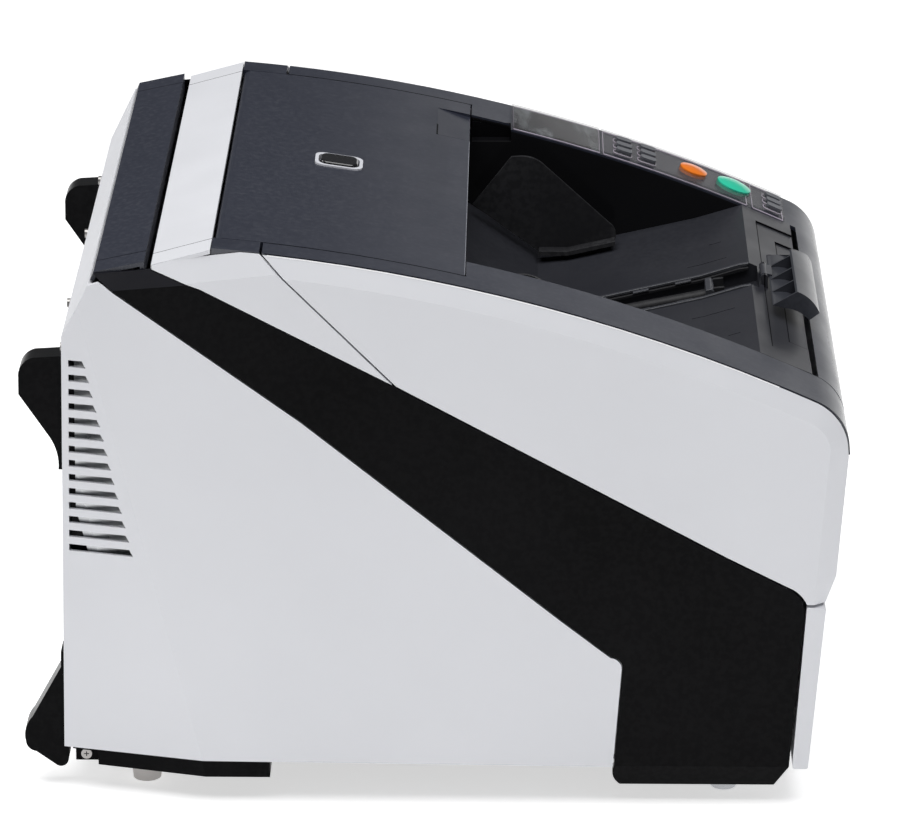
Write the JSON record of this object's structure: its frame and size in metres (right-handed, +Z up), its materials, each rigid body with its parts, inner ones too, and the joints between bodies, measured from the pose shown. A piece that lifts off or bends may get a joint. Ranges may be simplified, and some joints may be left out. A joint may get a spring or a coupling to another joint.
{
  "type": "sheet fed document scanner",
  "caption": "Desktop sheet fed document scanner with an opening upper unit, slanted stacker well, operator panel and fold-down hopper.",
  "frame": {"origin": "middle of the footprint's bounding box, on the surface the feet stand on", "axes": "+X to the front (hopper side), +Y to the operator panel side, +Z up"},
  "size_m": [0.6004, 0.48, 0.4277],
  "materials": {
    "white_cover": "fine moulded texture",
    "black_trim": "satin moulded",
    "charcoal": "fine moulded texture",
    "dark_tray": "smooth moulded",
    "steel": "plated sheet",
    "foot_grey": "moulded",
    "foot_metal": "turned",
    "screw_metal": "plated",
    "scan_housing": "moulded",
    "scan_glass": "polished",
    "psu_metal": "plain",
    "board_green": "solder mask",
    "port_black": "moulded",
    "roller_rubber": "ground",
    "bezel_silver": "satin",
    "lever_gloss": "polished",
    "display": "polished",
    "overlay_clear": "polished",
    "button_orange": "satin",
    "button_green": "satin",
    "key_grey": "satin"
  },
  "bodies": {
    "base": {"base_tray": "black_trim", "chassis": "steel", "right_side_panel": "white_cover", "left_side_panel": "white_cover", "right_band": "black_trim", "left_band": "black_trim", "rear_cover": "white_cover", "rear_top_cover": "white_cover", "rear_strip": "charcoal", "hinge_caps": "charcoal", "upper_brackets": "black_trim", "lower_brackets": "black_trim", "rear_feet": "foot_grey", "front_feet": "foot_metal", "screws": "screw_metal", "lower_guide": "steel", "lower_scan_unit": "scan_housing", "lower_glass": "scan_glass", "power_supply": "psu_metal", "main_board": "board_green", "rear_ports": "port_black"},
    "upper_unit": {"left_upper_cover": "white_cover", "right_upper_cover": "white_cover", "left_rail": "charcoal", "right_rail": "charcoal", "main_panel": "charcoal", "latch_bezel": "bezel_silver", "front_cap": "charcoal", "front_cover": "white_cover", "stacker_tray": "dark_tray", "upper_guide": "steel", "upper_scan_unit": "scan_housing", "upper_glass": "scan_glass", "lcd_panel": "display", "panel_overlay": "overlay_clear"},
    "power_rocker": {"power_switch": "port_black"},
    "brake": {"brake_roller": "roller_rubber"},
    "feed_front": {"feed_roller_front": "roller_rubber"},
    "feed_rear": {"feed_roller_rear": "roller_rubber"},
    "lever": {"release_lever": "lever_gloss"},
    "stack_guide_right": {"stacker_guide_right": "dark_tray"},
    "stack_guide_left": {"stacker_guide_left": "dark_tray"},
    "stack_stop": {"stopper": "dark_tray"},
    "pick": {"pick_roller": "roller_rubber"},
    "eject": {"eject_roller": "roller_rubber"},
    "stop_key": {"stop_button": "button_orange"},
    "scan_key": {"scan_button": "button_green"},
    "hopper": {"hopper_tray": "white_cover", "hopper_extension": "dark_tray"},
    "feed_guide_right": {"hopper_guide_right": "dark_tray"},
    "feed_guide_left": {"hopper_guide_left": "dark_tray"},
    "key_1_cap": {"key_1": "key_grey"},
    "key_2_cap": {"key_2": "key_grey"},
    "key_3_cap": {"key_3": "key_grey"},
    "key_4_cap": {"key_4": "key_grey"},
    "key_5_cap": {"key_5": "key_grey"},
    "key_6_cap": {"key_6": "key_grey"},
    "key_7_cap": {"key_7": "key_grey"},
    "key_8_cap": {"key_8": "key_grey"},
    "key_9_cap": {"key_9": "key_grey"}
  },
  "joints": [
    {"name": "upper_unit_hinge", "type": "hinge", "parent": "base", "child": "upper_unit", "pos_m": [-0.15006, 0, 0.422], "axis": [0, -1, 0], "range_deg": [0, 35]},
    {"name": "hopper_hinge", "type": "hinge", "parent": "base", "child": "hopper", "pos_m": [0.26814, 0, 0.035], "axis": [0, 1, 0], "range_deg": [0, 75]},
    {"name": "feed_guides_slide", "type": "slide", "parent": "hopper", "child": "feed_guide_right", "axis": [0, 1, 0], "range_m": [-0.1, 0]},
    {"name": "feed_guide_left_slide", "type": "slide", "parent": "hopper", "child": "feed_guide_left", "axis": [0, 1, 0], "range_m": [0, 0.1]},
    {"name": "stack_guides_slide", "type": "slide", "parent": "upper_unit", "child": "stack_guide_right", "axis": [0, 1, 0], "range_m": [-0.07, 0.02]},
    {"name": "stack_guide_left_slide", "type": "slide", "parent": "upper_unit", "child": "stack_guide_left", "axis": [0, 1, 0], "range_m": [-0.02, 0.07]},
    {"name": "stack_stop_hinge", "type": "hinge", "parent": "upper_unit", "child": "stack_stop", "pos_m": [0.24694, 0, 0.3326], "axis": [0, -1, 0], "range_deg": [0, 100]},
    {"name": "release_lever_hinge", "type": "hinge", "parent": "upper_unit", "child": "lever", "pos_m": [-0.08456, 0, 0.4184], "axis": [0, -1, 0], "range_deg": [0, 35], "stiffness_Nm_per_rad": 0.05},
    {"name": "stop_button_press", "type": "slide", "parent": "upper_unit", "child": "stop_key", "axis": [-0.3576, 0, -0.9339], "range_m": [0, 0.0015], "stiffness_N_per_m": 600},
    {"name": "scan_button_press", "type": "slide", "parent": "upper_unit", "child": "scan_key", "axis": [-0.3822, 0, -0.9241], "range_m": [0, 0.0015], "stiffness_N_per_m": 600},
    {"name": "power_rocker_tilt", "type": "hinge", "parent": "base", "child": "power_rocker", "pos_m": [-0.26806, 0.072, 0.07], "axis": [0, 0, 1], "range_deg": [0, 12]},
    {"name": "key_1_press", "type": "slide", "parent": "upper_unit", "child": "key_1_cap", "axis": [-0.315, 0, -0.9491], "range_m": [0, 0.001], "stiffness_N_per_m": 600},
    {"name": "key_2_press", "type": "slide", "parent": "upper_unit", "child": "key_2_cap", "axis": [-0.315, 0, -0.9491], "range_m": [0, 0.001], "stiffness_N_per_m": 600},
    {"name": "key_3_press", "type": "slide", "parent": "upper_unit", "child": "key_3_cap", "axis": [-0.315, 0, -0.9491], "range_m": [0, 0.001], "stiffness_N_per_m": 600},
    {"name": "key_4_press", "type": "slide", "parent": "upper_unit", "child": "key_4_cap", "axis": [-0.3297, 0, -0.9441], "range_m": [0, 0.001], "stiffness_N_per_m": 600},
    {"name": "key_5_press", "type": "slide", "parent": "upper_unit", "child": "key_5_cap", "axis": [-0.3297, 0, -0.9441], "range_m": [0, 0.001], "stiffness_N_per_m": 600},
    {"name": "key_6_press", "type": "slide", "parent": "upper_unit", "child": "key_6_cap", "axis": [-0.3297, 0, -0.9441], "range_m": [0, 0.001], "stiffness_N_per_m": 600},
    {"name": "key_7_press", "type": "slide", "parent": "upper_unit", "child": "key_7_cap", "axis": [-0.4064, 0, -0.9137], "range_m": [0, 0.001], "stiffness_N_per_m": 600},
    {"name": "key_8_press", "type": "slide", "parent": "upper_unit", "child": "key_8_cap", "axis": [-0.4064, 0, -0.9137], "range_m": [0, 0.001], "stiffness_N_per_m": 600},
    {"name": "key_9_press", "type": "slide", "parent": "upper_unit", "child": "key_9_cap", "axis": [-0.4064, 0, -0.9137], "range_m": [0, 0.001], "stiffness_N_per_m": 600},
    {"name": "pick_spin", "type": "hinge", "parent": "upper_unit", "child": "pick", "pos_m": [0.22662, 0, 0.20641], "axis": [0, 1, 0], "continuous": true},
    {"name": "brake_spin", "type": "hinge", "parent": "base", "child": "brake", "pos_m": [0.17842, 0, 0.20145], "axis": [0, 1, 0], "continuous": true},
    {"name": "feed_spin", "type": "hinge", "parent": "base", "child": "feed_front", "pos_m": [0.06842, 0, 0.26168], "axis": [0, 1, 0], "continuous": true},
    {"name": "feed_rear_spin", "type": "hinge", "parent": "base", "child": "feed_rear", "pos_m": [0.01342, 0, 0.29179], "axis": [0, 1, 0], "continuous": true},
    {"name": "eject_spin", "type": "hinge", "parent": "upper_unit", "child": "eject", "pos_m": [-0.01306, 0, 0.368], "axis": [0, 1, 0], "continuous": true}
  ],
  "couplings": [
    {"joint": "feed_guide_left_slide", "follows": "feed_guides_slide", "ratio": -1},
    {"joint": "stack_guide_left_slide", "follows": "stack_guides_slide", "ratio": -1},
    {"joint": "feed_rear_spin", "follows": "feed_spin", "ratio": 1}
  ]
}
